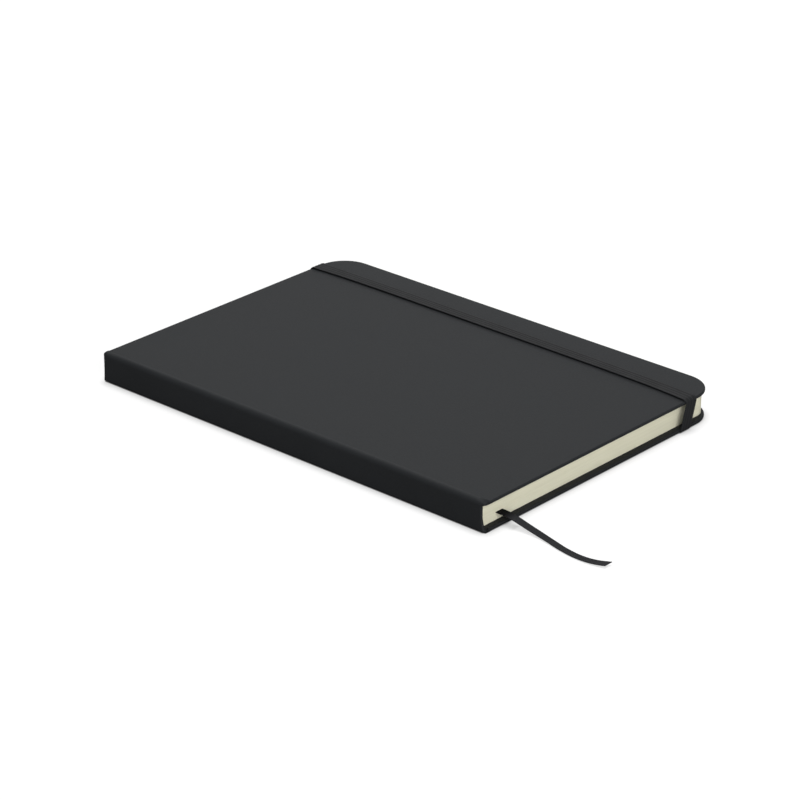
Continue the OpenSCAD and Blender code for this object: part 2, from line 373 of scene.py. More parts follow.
@dataclass(frozen=True)
class LeatheretteFinish:
    """Matte coated cover sheet with a fine pebble grain, a little paler where it is worn."""

    colour: Colour = (0.0168, 0.0183, 0.0200)
    worn: Colour = (0.0225, 0.0243, 0.0264)
    dust: Colour = (0.3, 0.3, 0.3)
    pebbles: float = 1500.0
    clouds: float = 26.0
    specks: float = 2400.0
    cloud_share: float = 0.55
    pebble_share: float = 0.35
    speck_share: float = 0.05
    specular: float = 0.12
    roughness: float = 0.56
    cloud_rough: float = 0.1
    pebble_rough: float = -0.08
    relief: float = 0.06 * MM
    relief_strength: float = 0.5

    def make(self) -> bpy.types.Material:
        """Lay the finish's nodes.

        Returns:
            The material.
        """
        material, g, shader = new_finish("charcoal leatherette", Specular_IOR_Level=self.specular)
        place = g.node("ShaderNodeTexCoord").outputs["Object"]
        grain = g.group(Effects.grain(), Vector=place, Pebble=self.pebbles)
        drift = g.group(Effects.drift(), Vector=place, Cloud_size=self.clouds, Dust_size=self.specks)
        tone = g.mix(g.span(drift["Cloud"], 0.3, 0.7, 0.0, self.cloud_share), self.colour, self.worn)
        tone = g.mix(g.times(grain["Tone"], self.pebble_share), tone, self.worn)
        tone = g.mix(g.times(drift["Dust"], self.speck_share), tone, self.dust)
        g.put(shader.inputs["Base Color"], tone)
        rough = g.weigh(drift["Cloud"], self.cloud_rough, grain["Tone"], self.pebble_rough)
        g.put(shader.inputs["Roughness"], g.math("ADD", rough, self.roughness))
        bump(g, shader, grain["Height"], self.relief, self.relief_strength)
        return material


@dataclass(frozen=True)
class PageEdgeFinish:
    """Cut edges of a stack of leaves: fine lines along each side with painted shade between the leaves, and
    plain paper on top.
    """

    colour: Colour = (0.87, 0.85, 0.68)
    shade: Colour = (0.69, 0.66, 0.50)
    cloud: Colour = (0.70, 0.70, 0.56)
    clouds: float = 30.0
    leaf: float = 0.104 * MM
    sway: float = 2.5
    sways: float = 60.0
    sway_shape: Point = (1.0, 1.0, 6.0)
    bands: Point = (14.0, 14.0, 1500.0)
    band_share: float = 0.35
    gap_shade_share: float = 0.22
    cloud_share: float = 0.12
    relief: float = 0.05 * MM
    relief_strength: float = 0.6

    def make(self) -> bpy.types.Material:
        """Lay the finish's nodes.

        Returns:
            The material.
        """
        material, g, shader = new_finish("cream page edges", Specular_IOR_Level=0.2)
        place = g.node("ShaderNodeTexCoord").outputs["Object"]
        normal = g.node("ShaderNodeNewGeometry").outputs["Normal"]
        drift = g.group(Effects.drift(), Vector=place, Cloud_size=self.clouds)
        sway = g.times(g.noise(g.stretch(place, self.sway_shape), self.sways, 2.0), self.leaf * self.sway)
        count = g.math("DIVIDE", g.math("ADD", g.parts(place)[2], sway), self.leaf)
        wave = g.math("SINE", g.times(count, 2 * math.pi))
        bands = g.noise(g.stretch(place, self.bands), 1.0, 3.0, 0.65)
        side = g.math("SUBTRACT", 1.0, g.math("ABSOLUTE", g.parts(normal)[2]))
        lines = g.times(g.span(wave, -1.0, 0.4), side)
        # painted shade in the gaps between the leaves, on the cut sides only
        gap_shade = g.times(g.math("SUBTRACT", 1.0, lines), g.times(side, self.gap_shade_share))
        tone = g.mix(g.times(g.span(bands, 0.35, 0.75), self.band_share), self.colour, self.shade)
        tone = g.mix(gap_shade, tone, self.shade)
        tone = g.mix(g.span(drift["Cloud"], 0.35, 0.7, 0.0, self.cloud_share), tone, self.cloud)
        g.put(shader.inputs["Base Color"], tone)
        g.put(shader.inputs["Roughness"], g.span(drift["Cloud"], 0.3, 0.7, 0.78, 0.9))
        bump(g, shader, g.weigh(lines, 0.6, bands, 0.8), self.relief, self.relief_strength)
        return material


@dataclass(frozen=True)
class PaperFinish:
    """Uncoated cream paper with faint fibres."""

    colour: Colour = (0.80, 0.78, 0.66)
    fibre: Colour = (0.72, 0.69, 0.56)
    clouds: float = 40.0
    fibres: float = 2600.0
    fibre_shape: Point = (1.0, 0.35, 1.0)
    fibre_share: float = 0.35
    cloud_share: float = 0.2
    relief: float = 0.03 * MM
    relief_strength: float = 0.5

    def make(self) -> bpy.types.Material:
        """Lay the finish's nodes.

        Returns:
            The material.
        """
        material, g, shader = new_finish("cream endpaper", Specular_IOR_Level=0.2)
        place = g.node("ShaderNodeTexCoord").outputs["Object"]
        drift = g.group(Effects.drift(), Vector=place, Cloud_size=self.clouds)
        fibres = g.noise(g.stretch(place, self.fibre_shape), self.fibres, 4.0, 0.7)
        tone = g.mix(g.span(fibres, 0.4, 0.75, 0.0, self.fibre_share), self.colour, self.fibre)
        tone = g.mix(g.span(drift["Cloud"], 0.3, 0.75, 0.0, self.cloud_share), tone, self.fibre)
        g.put(shader.inputs["Base Color"], tone)
        g.put(shader.inputs["Roughness"], g.span(fibres, 0.3, 0.7, 0.82, 0.93))
        bump(g, shader, fibres, self.relief, self.relief_strength)
        return material


@dataclass(frozen=True)
class BoardFinish:
    """Grey pressed board with flecks."""

    colour: Colour = (0.36, 0.33, 0.28)
    fleck: Colour = (0.22, 0.20, 0.17)
    clouds: float = 60.0
    flecks: float = 1200.0
    cloud_share: float = 0.3
    fibres: float = 1800.0
    relief: float = 0.05 * MM
    relief_strength: float = 0.5

    def make(self) -> bpy.types.Material:
        """Lay the finish's nodes.

        Returns:
            The material.
        """
        material, g, shader = new_finish("grey board", Specular_IOR_Level=0.2)
        place = g.node("ShaderNodeTexCoord").outputs["Object"]
        drift = g.group(Effects.drift(), Vector=place, Cloud_size=self.clouds, Dust_size=self.flecks)
        tone = g.mix(drift["Dust"], self.colour, self.fleck)
        tone = g.mix(g.span(drift["Cloud"], 0.3, 0.7, 0.0, self.cloud_share), tone, self.fleck)
        g.put(shader.inputs["Base Color"], tone)
        g.put(shader.inputs["Roughness"], g.span(drift["Cloud"], 0.2, 0.8, 0.85, 0.95))
        bump(g, shader, g.noise(place, self.fibres, 4.0, 0.6), self.relief, self.relief_strength)
        return material


class Weave(Enum):
    """Woven goods: name, dark and light thread, threads along and across a metre, relief."""

    ELASTIC = ("black elastic", (0.0062, 0.0065, 0.0072), (0.0267, 0.0277, 0.0296), 1900.0, 317.5, 0.12 * MM)
    RIBBON = ("black ribbon", (0.016, 0.0164, 0.0178), (0.046, 0.047, 0.050), 3600.0, 2400.0, 0.03 * MM)
    LINING = ("lining cloth", (0.68, 0.66, 0.60), (0.5, 0.48, 0.43), 1400.0, 1400.0, 0.1 * MM)


@dataclass(frozen=True)
class WovenFinish:
    """Woven thread, with painted shade over a stretch along U and past a width across V."""

    kind: Weave
    sheen: float = 0.0
    sheen_roughness: float = 0.45
    roughness: float = 0.65
    specular: float = 0.2
    clouds: float = 90.0
    cloud_share: float = 0.25
    relief_strength: float = 0.6
    # painted shade: colour for the shaded start of the ribbon and the shaded sides of the band
    painted_shade: Colour = (0.0065, 0.0065, 0.0075)
    painted_shade_run: Spot | None = None
    # painted shade on the sides past this distance from the middle across V
    painted_shade_side: float | None = None
    side_fade: float = 0.1 * MM

    def make(self) -> bpy.types.Material:
        """Lay the finish's nodes.

        Returns:
            The material.
        """
        name, dark, light, along, across, relief = self.kind.value
        gloss = {"Specular_IOR_Level": self.specular, "Sheen_Weight": self.sheen}
        material, g, shader = new_finish(name, Sheen_Roughness=self.sheen_roughness, **gloss)
        coord = g.node("ShaderNodeTexCoord").outputs
        lay = coord["Object" if self.kind is Weave.LINING else "UV"]
        weave = g.group(Effects.weave(), Vector=lay, Along=along, Across=across)
        drift = g.group(Effects.drift(), Vector=coord["Object"], Cloud_size=self.clouds)
        tone = g.mix(g.weigh(weave["Thread"], 0.3, weave["Height"], 0.5), dark, light)
        tone = g.mix(g.span(drift["Cloud"], 0.3, 0.75, 0.0, self.cloud_share), tone, light)
        # painted shade: darker over the given stretch of the run, and past the given width at the sides
        if self.painted_shade_run is not None:
            tone = g.mix(g.span(g.parts(lay)[0], *self.painted_shade_run, 1.0, 0.0), tone, self.painted_shade)
        if self.painted_shade_side is not None:
            side = g.math("ABSOLUTE", g.parts(lay)[1])
            past = g.span(side, self.painted_shade_side, self.painted_shade_side + self.side_fade)
            tone = g.mix(past, tone, self.painted_shade)
        g.put(shader.inputs["Base Color"], tone)
        g.put(shader.inputs["Roughness"], g.math("ADD", g.times(weave["Height"], -0.12), self.roughness))
        bump(g, shader, weave["Height"], relief, self.relief_strength)
        return material


def new_mesh(name: str, points: np.ndarray, faces: list[tuple[int, ...]], smooth: bool = True) -> Piece:
    """Make a mesh object in the row frame.

    Args:
        name: Name of the piece.
        points: Its points, in metres.
        faces: Its faces, as point numbers.
        smooth: Whether the faces are shaded smooth.

    Returns:
        The new object.
    """
    mesh = bpy.data.meshes.new(name)
    mesh.from_pydata([tuple(map(float, p)) for p in points], [], faces)
    mesh.update()
    if smooth:
        mesh.polygons.foreach_set("use_smooth", [True] * len(mesh.polygons))
    piece = bpy.data.objects.new(name, mesh)
    bpy.context.scene.collection.objects.link(piece)
    return piece


def arc(centre: Spot, radius: float, start: float, end: float, steps: int) -> list[Spot]:
    """Return points of an arc, from one angle to another in degrees."""
    turns = np.radians(np.linspace(start, end, steps + 1))
    return [(centre[0] + radius * math.cos(a), centre[1] + radius * math.sin(a)) for a in turns]


def eased(share: float) -> float:
    """Return a share from 0 to 1 with a soft start and a soft end."""
    return share * share * (3 - 2 * share)


def curve_through(points: np.ndarray, steps: int) -> np.ndarray:
    """Lay a smooth curve through points.

    Args:
        points: The points, in order.
        steps: Steps to each stretch between two of them.

    Returns:
        The points of the curve.
    """
    last = len(points) - 1
    out = []
    for i in range(last):
        a, b, c, d = points[max(i - 1, 0)], points[i], points[i + 1], points[min(i + 2, last)]
        for j in range(steps):
            t = j / steps
            bend = (2 * a - 5 * b + 4 * c - d) * t**2 + (3 * b - 3 * c + d - a) * t**3
            out.append(0.5 * (2 * b + (c - a) * t + bend))
    out.append(points[last])
    return np.array(out)


def wall_faces(rings: int, sides: int) -> list[tuple[int, int, int, int]]:
    """Join neighbouring rings of points.

    Args:
        rings: How many rings there are.
        sides: How many points a ring has, numbered ring by ring.

    Returns:
        The faces between the rings.
    """
    faces = []
    for here in range(0, (rings - 1) * sides, sides):
        there = here + sides
        for k in range(sides):
            n = (k + 1) % sides
            faces.append((here + k, here + n, there + n, there + k))
    return faces


def tube(name: str, rings: np.ndarray, across: np.ndarray, run: np.ndarray) -> Piece:
    """Skin closed rings into a solid and lay UVs in metres on it.

    Args:
        name: Name of the piece.
        rings: Points as (ring, side, 3), all rings with as many sides.
        across: Place of each side across the strip, in metres.
        run: Place of each ring along the strip, in metres.

    Returns:
        The new object, with U along it and V across it.
    """
    count, sides = rings.shape[:2]
    faces = [(a, d, c, b) for a, b, c, d in wall_faces(count, sides)]
    faces.append(tuple(range(sides)))
    faces.append(tuple((count - 1) * sides + k for k in range(sides - 1, -1, -1)))
    piece = new_mesh(name, rings.reshape(-1, 3), faces)
    uv = piece.data.uv_layers.new(name="lay")
    for loop in piece.data.loops:
        i, k = divmod(loop.vertex_index, sides)
        uv.data[loop.index].uv = (run[i], across[k])
    return piece


def dress(piece: Piece, material: bpy.types.Material) -> Piece:
    """Give a piece its finish.

    Args:
        piece: The piece.
        material: The finish.

    Returns:
        The piece.
    """
    piece.data.materials.clear()
    piece.data.materials.append(material)
    return piece


@dataclass
class StudioCamera:
    """The photograph's camera, fitted to the outline of the book, with its sensor in mm."""

    azimuth: float = -48.329
    elevation: float = 24.58
    roll: float = 0.319
    distance: float = 1.28817
    focal_px: float = 3097.06
    image_px: float = 800.0
    slide: Spot = (-0.003125, -0.001202)
    sensor: float = 36.0
    clip: Spot = (0.05, 20.0)

    def build(self) -> Piece:
        """Place the camera and make it the scene's own.

        Returns:
            The camera.
        """
        a, e, r = (math.radians(x) for x in (self.azimuth, self.elevation, self.roll))
        look = Vector((-math.sin(a) * math.cos(e), math.cos(a) * math.cos(e), -math.sin(e)))
        right = Vector((math.cos(a), math.sin(a), 0.0))
        up = right.cross(look)
        place = -look * self.distance + right * self.slide[0] + up * self.slide[1]
        turned = right * math.cos(r) + up * math.sin(r)
        upright = up * math.cos(r) - right * math.sin(r)
        data = bpy.data.cameras.new("camera")
        data.sensor_width = self.sensor
        data.lens = self.focal_px * self.sensor / self.image_px
        data.clip_start, data.clip_end = self.clip
        camera = bpy.data.objects.new("camera", data)
        rows = [(turned[i], upright[i], -look[i], place[i]) for i in range(3)]
        camera.matrix_world = Matrix([*rows, (0, 0, 0, 1)])
        bpy.context.scene.collection.objects.link(camera)
        bpy.context.scene.camera = camera
        return camera


@dataclass(frozen=True)
class Lamp:
    """A soft square lamp that looks at the book."""

    name: str
    place: Point
    size: float
    watts: float

    def build(self) -> Piece:
        """Hang the lamp.

        Returns:
            The lamp.
        """
        data = bpy.data.lights.new(self.name, "AREA")
        data.shape, data.size, data.energy = "SQUARE", self.size, self.watts
        made = bpy.data.objects.new(self.name, data)
        made.location = self.place
        made.rotation_euler = (-Vector(self.place)).to_track_quat("-Z", "Y").to_euler()
        bpy.context.scene.collection.objects.link(made)
        return made


@dataclass
class Studio:
    """Pale floor, soft lamps and an even world round the book."""

    floor_half: float = 6.0
    floor_drop: float = 0.05 * MM
    floor_colour: Colour = (0.34, 0.34, 0.34)
    seen_colour: Colour = (0.38, 0.38, 0.38)
    lift: float = 0.66
    far_lift: float = 1.0
    far: Spot = (0.3, 1.3)
    contact: float = 5 * MM
    contact_depth: float = 0.6
    contact_samples: int = 16
    crease: Spot = (0.2, 0.55)
    ribbon_y: Spot = (-111.5 * MM, -108 * MM)
    world: float = 0.24
    lamps: tuple[Lamp, ...] = (
        Lamp("key", (0.1, 0.15, 1.6), 0.7, 15.0),
        Lamp("fill", (-0.65, -1.28, 0.42), 1.3, 18.7),
        Lamp("rim", (1.15, 1.0, 0.72), 1.2, 4.6),
    )

    def floor_light(self, g: Graph) -> Socket:
        """Find the strength of the floor's own light.

        Args:
            g: Graph of the floor's material.

        Returns:
            More light far away, less in the soft shadow beside the book, and none in the crease
            under it. The floor past the book's tail, where the ribbon lies, is left clear.
        """
        place = g.node("ShaderNodeTexCoord").outputs["Object"]
        away = g.node("ShaderNodeVectorMath", operation="LENGTH")
        g.put(away.inputs[0], place)
        near = g.node("ShaderNodeAmbientOcclusion", samples=self.contact_samples)
        g.put(near.inputs["Distance"], self.contact)
        past_book = g.span(g.parts(place)[1], *self.ribbon_y, 1.0, 0.0)
        clear = g.math("MAXIMUM", near.outputs["AO"], past_book)
        soft = g.math("ADD", g.times(clear, self.contact_depth), 1.0 - self.contact_depth)
        light = g.span(away.outputs["Value"], *self.far, self.lift, self.far_lift)
        return g.times(g.times(light, soft), g.span(clear, *self.crease))

    def build_floor(self) -> Piece:
        """Lay the floor, which looks white but throws back a plain amount of light.

        Returns:
            The floor.
        """
        h, z = self.floor_half, -self.floor_drop
        corners = np.array([(-h, -h, z), (h, -h, z), (h, h, z), (-h, h, z)])
        floor = new_mesh("floor", corners, [(0, 1, 2, 3)], smooth=False)
        material = bpy.data.materials.new("white floor")
        g = fresh_graph(material)
        path = g.node("ShaderNodeLightPath").outputs
        matt = g.node("ShaderNodeBsdfDiffuse")
        g.put(matt.inputs["Color"], g.mix(path["Is Camera Ray"], self.floor_colour, self.seen_colour))
        glow = g.node("ShaderNodeEmission")
        seen = g.math("MAXIMUM", path["Is Camera Ray"], path["Is Transmission Ray"])
        g.put(glow.inputs["Strength"], g.times(seen, self.floor_light(g)))
        both = g.node("ShaderNodeAddShader")
        g.put(both.inputs[0], matt.outputs[0])
        g.put(both.inputs[1], glow.outputs[0])
        g.put(g.node("ShaderNodeOutputMaterial").inputs["Surface"], both.outputs[0])
        floor.data.materials.append(material)
        return floor

    def build_world(self) -> None:
        """Light the scene evenly, and show white where the camera sees past the floor."""
        world = bpy.data.worlds.new("studio")
        bpy.context.scene.world = world
        g = fresh_graph(world)
        seen = g.node("ShaderNodeLightPath").outputs["Is Camera Ray"]
        back = g.node("ShaderNodeBackground")
        g.put(back.inputs["Color"], (1.0, 1.0, 1.0))
        g.put(back.inputs["Strength"], g.math("ADD", self.world, g.times(seen, 1.0 - self.world)))
        g.put(g.node("ShaderNodeOutputWorld").inputs["Surface"], back.outputs[0])

    def build(self) -> None:
        """Build the floor, the world and the lamps."""
        self.build_floor()
        self.build_world()
        for lamp in self.lamps:
            lamp.build()


@dataclass
class Book:
    """Sizes that the book's parts share, in metres."""

    length: float = 210 * MM
    width: float = 148 * MM
    thick: float = 13 * MM
    cover: float = 1.5 * MM
    square: float = 3 * MM
    hinge_x: float = -71.8 * MM
    pages_x: float = -72.2 * MM

    @property
    def half(self) -> float:
        """Half the height of the covers."""
        return self.length / 2


@dataclass
class Spine:
    """Leatherette back of the case: a channel with rounded edges and pulled-in, rolled ends."""

    book: Book
    wall: float = 1.4 * MM
    top_r: float = 2 * MM
    low_r: float = 0.6 * MM
    inner_top_r: float = 0.7 * MM
    inner_low_r: float = 0.4 * MM
    low_tilt: float = 5.0
    low_gap: float = 0.02 * MM
    hinge_gap: float = 0.05 * MM
    tail_scoop: float = 1.8 * MM
    head_scoop: float = 0.35 * MM
    scoop_top: float = 0.8 * MM
    scoop_run: float = 1.4 * MM
    scoop_round: float = 1.6
    head_roll: float = 0.3 * MM
    head_r: float = 1.1 * MM
    head_full: float = 6 * MM
    cap_in: float = 0.1 * MM
    cap_turn: float = 86.0
    cap_steps: int = 7
    length_steps: int = 60
    top_steps: int = 12
    side_steps: int = 14
    low_steps: int = 8

    @property
    def end(self) -> float:
        """Y of the spine's head end, and of its tail end when negated."""
        return self.book.half - self.cap_in

    def section(self, top_r: float) -> tuple[np.ndarray, np.ndarray]:
        """Lay out the section of the channel.

        Args:
            top_r: Radius of the outer edge at the top.

        Returns:
            Its outer and its inner points, which match one to one, as X and Z.
        """
        b = self.book
        x0, x1, top = -b.width / 2, b.hinge_x - self.hinge_gap, b.thick
        tilt = math.radians(self.low_tilt)
        low_x = x0 + self.low_r
        low_z = self.low_gap + (b.hinge_x - low_x) * math.tan(tilt) + self.low_r / math.cos(tilt)
        low_turn = 270 - self.low_tilt
        outer = [(x1, top)]
        outer += arc((x0 + top_r, top - top_r), top_r, 90, 180, self.top_steps)
        outer += [(x0, z) for z in np.linspace(top - top_r, low_z, self.side_steps)[1:-1]]
        outer += arc((low_x, low_z), self.low_r, 180, low_turn, self.low_steps)
        outer += [(x1, self.low_gap + self.hinge_gap * math.tan(tilt))]
        inner_x, r, low_r = x0 + self.wall, self.inner_top_r, self.inner_low_r
        inner = [(x1, top - b.cover)]
        inner += arc((inner_x + r, top - b.cover - r), r, 90, 180, self.top_steps)
        inner += [(inner_x, z) for z in np.linspace(top - self.top_r, low_z, self.side_steps)[1:-1]]
        inner += arc((inner_x + low_r, b.cover + low_r), low_r, 180, low_turn, self.low_steps)
        inner += [(x1, b.cover)]
        return np.array(outer), np.array(inner)

    def scooped(self, z: np.ndarray, depth: float) -> np.ndarray:
        """Find how far an end is pulled in.

        Args:
            z: Heights.
            depth: How far it is pulled in where it is deepest.

        Returns:
            The pull at each height.
        """
        rise = np.clip((self.book.thick - self.scoop_top - z) / self.scoop_run, 0, 1)
        low = 1 - np.abs(np.minimum(2 * z / self.book.thick - 1, 0)) ** self.scoop_round
        return depth * eased(rise) * np.clip(low, 0, 1)

    def rings(self, z: np.ndarray) -> list[tuple[float, np.ndarray]]:
        """Lay out the rings of the channel, from the tail to the head.

        Args:
            z: Height of each point of the section's middle line.

        Returns:
            For each ring the share of the wall that it shows, and the Y of each point.
        """
        turns = np.linspace(math.radians(self.cap_turn), 0, self.cap_steps)
        caps, starts = [], []
        tail, head = (-1, self.tail_scoop, self.wall / 2), (1, self.head_scoop, self.head_roll)
        for side, scoop, roll in (tail, head):
            ends = self.end - self.scooped(z, scoop)
            caps.append([(math.cos(a), side * (ends - roll + roll * math.sin(a))) for a in turns])
            starts.append(side * (ends - roll))
        shares = np.linspace(0, 1, self.length_steps)[1:-1]
        between = [(1.0, (1 - t) * starts[0] + t * starts[1]) for t in shares]
        return [*caps[0], *between, *caps[1][::-1]]

    def build(self) -> Piece:
        """Build the spine, replacing its solid.

        Returns:
            The spine.
        """
        outer, inner = self.section(self.top_r)
        full = self.section(self.head_r)[0]
        middle = (outer + inner) / 2
        points = []
        for share, y in self.rings(middle[:, 1]):
            near = np.clip((y.max() - self.end + self.head_full) / self.head_full, 0, 1)
            shell = outer + (full - outer) * eased(near)
            outside, inside = (middle + (wall - middle) * share for wall in (shell, inner))
            skin = np.concatenate([outside, inside[::-1]])
            points.append(np.column_stack([skin[:, 0], np.concatenate([y, y[::-1]]), skin[:, 1]]))
        count = len(outer)
        sides = 2 * count
        faces = wall_faces(len(points), sides)
        last = (len(points) - 1) * sides
        for k in range(count - 1):
            faces.append((k, sides - 1 - k, sides - 2 - k, k + 1))
            faces.append((last + k, last + k + 1, last + sides - 2 - k, last + sides - 1 - k))
        piece = new_mesh("spine_leatherette", np.concatenate(points), faces)
        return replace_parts(piece, "spine_cover")


@dataclass
class Joint:
    """Thin strip that bends where a cover meets the book block, its path as X and Z in mm."""

    name: str
    cover: str
    path: tuple[Spot, ...]
    thick: float
    half: float
    start: Point
    end: Point
    curve_steps: int = 4
    rings: int = 43
    taper_steps: float = 3.0
    thinnest: float = 0.15

    def build(self) -> Piece:
        """Build the strip, thinner towards both edges.

        Returns:
            The strip.
        """
        line = curve_through(np.array(self.path) * MM, self.curve_steps)
        way = np.gradient(line, axis=0)
        side = np.column_stack([-way[:, 1], way[:, 0]]) / np.linalg.norm(way, axis=1)[:, None]
        steps = np.arange(len(line))
        taper = np.clip(np.minimum(steps, steps[::-1]) / self.taper_steps, self.thinnest, 1)[:, None]
        loop = np.concatenate([line, (line + side * self.thick * taper)[::-1]])
        ys = np.linspace(-self.half, self.half, self.rings)
        rings = np.array([[(x, y, z) for x, z in loop] for y in ys])
        across = np.concatenate([np.zeros(1), np.cumsum(np.linalg.norm(np.diff(loop, axis=0), axis=1))])
        return tube(self.name, rings, across, ys)

    def finish(self, piece: Piece, material: bpy.types.Material, slot: Slot) -> None:
        """Dress the strip and bake its placement into its mesh."""
        dress(piece, material)
        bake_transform(piece)


@dataclass
class Pages:
    """Block of leaves with a rounded back, round fore corners and a lens of room for the ribbon."""

    book: Book
    leaves: int = 96
    seed: int = 96
    corner_r: float = 6.89 * MM
    back_r: float = 1.5 * MM
    uneven: float = 0.035 * MM
    groove: float = 0.035 * MM
    leaf_edge: Spot = (0.08, 0.92)
    ribbon_x: float = -62.1 * MM
    ribbon_z: float = 4.7 * MM
    ribbon_half: float = 2.3 * MM
    ribbon_room: float = 1.6
    lens_open: float = 0.13 * MM
    lens_deep: float = 1.6 * MM
    lens_leaves: float = 9.0

    @property
    def height(self) -> float:
        """Height of the block between the covers."""
        return self.book.thick - 2 * self.book.cover

    def corner(self, x: float, y: float, start: float) -> list[tuple[float, float, float, float]]:
        """Trace a fore corner.

        Args:
            x: X of its centre.
            y: Y of its centre.
            start: Its first angle, in degrees.

        Returns:
            X and Y of each point, and of the way out there.
        """
        r = self.corner_r
        turns = np.radians(np.linspace(start, start + 90, 15))[1:-1]
        return [(x + r * math.cos(a), y + r * math.sin(a), math.cos(a), math.sin(a)) for a in turns]

    def outline(self) -> tuple[np.ndarray, np.ndarray]:
        """Trace the block from above.

        Returns:
            Points round it, and the way out at each, as X and Y.
        """
        b = self.book
        x0, x1, y1 = b.pages_x, b.width / 2 - b.square, b.half - b.square
        round_x, round_y = x1 - self.corner_r, y1 - self.corner_r
        near = self.ribbon_half * self.ribbon_room
        tail = np.concatenate([
            np.linspace(x0, self.ribbon_x - near, 5)[:-1],
            np.linspace(self.ribbon_x - near, self.ribbon_x + near, 17),
            np.linspace(self.ribbon_x + near, round_x, 40)[1:],
        ])
        trace = [(x, -y1, 0.0, -1.0) for x in tail]
        trace += self.corner(round_x, -round_y, -90)
        trace += [(x1, y, 1.0, 0.0) for y in np.linspace(-round_y, round_y, 50)]
        trace += self.corner(round_x, round_y, 0)
        trace += [(x, y1, 0.0, 1.0) for x in np.linspace(round_x, x0, 44)]
        spots, ways = np.split(np.array(trace), 2, axis=1)
        return spots, ways

    def back(self, z: float) -> float:
        """Return how far the block's back stands in at a height over its underside."""
        into = self.back_r - min(z, self.height - z)
        return 0.0 if into <= 0 else self.back_r - math.sqrt(max(self.back_r**2 - into**2, 0))

    def pushes(self, knots: np.ndarray) -> list[np.ndarray]:
        """Find how unevenly the leaves are stacked.

        Args:
            knots: Angle of each point round the block.

        Returns:
            For each leaf how far its edge stands out at each point.
        """
        rng = np.random.default_rng(self.seed)
        drift = 0.0
        pushes = []
        for _ in range(self.leaves):
            drift = 0.75 * drift + rng.normal(0, 0.45)
            wave = sum(rng.normal(0, 0.3) * np.cos(n * knots + rng.uniform(0, 6.3)) for n in (1, 3, 7))
            pushes.append(self.uneven * np.clip(0.35 * drift + 0.5 * wave + rng.normal(0, 0.35), -1.2, 1.0))
        return pushes

    def rows(self, leaf: float) -> list[np.ndarray]:
        """Lay out the block's sides, row over row.

        Args:
            leaf: Thickness of a leaf.

        Returns:
            Rows of points: both edges of each leaf's cut and the groove over it, between the
            rows at the underside and at the top.
        """
        b = self.book
        spots, ways = self.outline()
        count = len(spots)
        slot_leaf = round((self.ribbon_z - b.cover) / leaf)
        at_tail = ways[:, 1] < -0.9
        reach = np.clip(1 - np.abs(spots[:, 0] - self.ribbon_x) / self.ribbon_half, 0, 1) * at_tail
        lens = np.sqrt(1 - (1 - reach) ** 4)
        rows: list[np.ndarray] = []
        for k, push in enumerate(self.pushes(np.arange(count) / count * 2 * math.pi)):
            for part, inset in ((self.leaf_edge[0], 0.0), (self.leaf_edge[1], 0.0), (1.0, self.groove)):
                z = (k + part) * leaf
                apart = self.lens_open * math.exp(-abs(k + part - slot_leaf) / self.lens_leaves)
                apart *= np.sign(k + 0.5 - slot_leaf)
                if part == 1.0 and k + 1 == slot_leaf:
                    inset = inset + self.lens_deep * lens
                    apart = 0.0
                out = spots + ways * (push - self.uneven - inset)[:, None]
                xs = np.maximum(out[:, 0], b.pages_x + self.back(z))
                rows.append(np.column_stack([xs, out[:, 1], b.cover + z + apart * lens]))
        rows.pop()
        bottom, top = rows[0].copy(), rows[-1].copy()
        bottom[:, 2] = b.cover
        top[:, 2] = b.cover + self.height
        return [bottom, *rows, top]

    def build(self) -> Piece:
        """Build the block of leaves, replacing its solid.

        Returns:
            The block.
        """
        leaf = self.height / self.leaves
        rows = self.rows(leaf)
        count = len(rows[0])
        faces: list[tuple[int, ...]] = [*wall_faces(len(rows), count)]
        faces.append(tuple(range(count - 1, -1, -1)))
        faces.append(tuple((len(rows) - 1) * count + k for k in range(count)))
        piece = new_mesh("pages_leaves", np.concatenate(rows), faces, smooth=False)
        log.info("pages: %d leaves of %.3f mm", self.leaves, leaf / MM)
        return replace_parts(piece, "page_block")


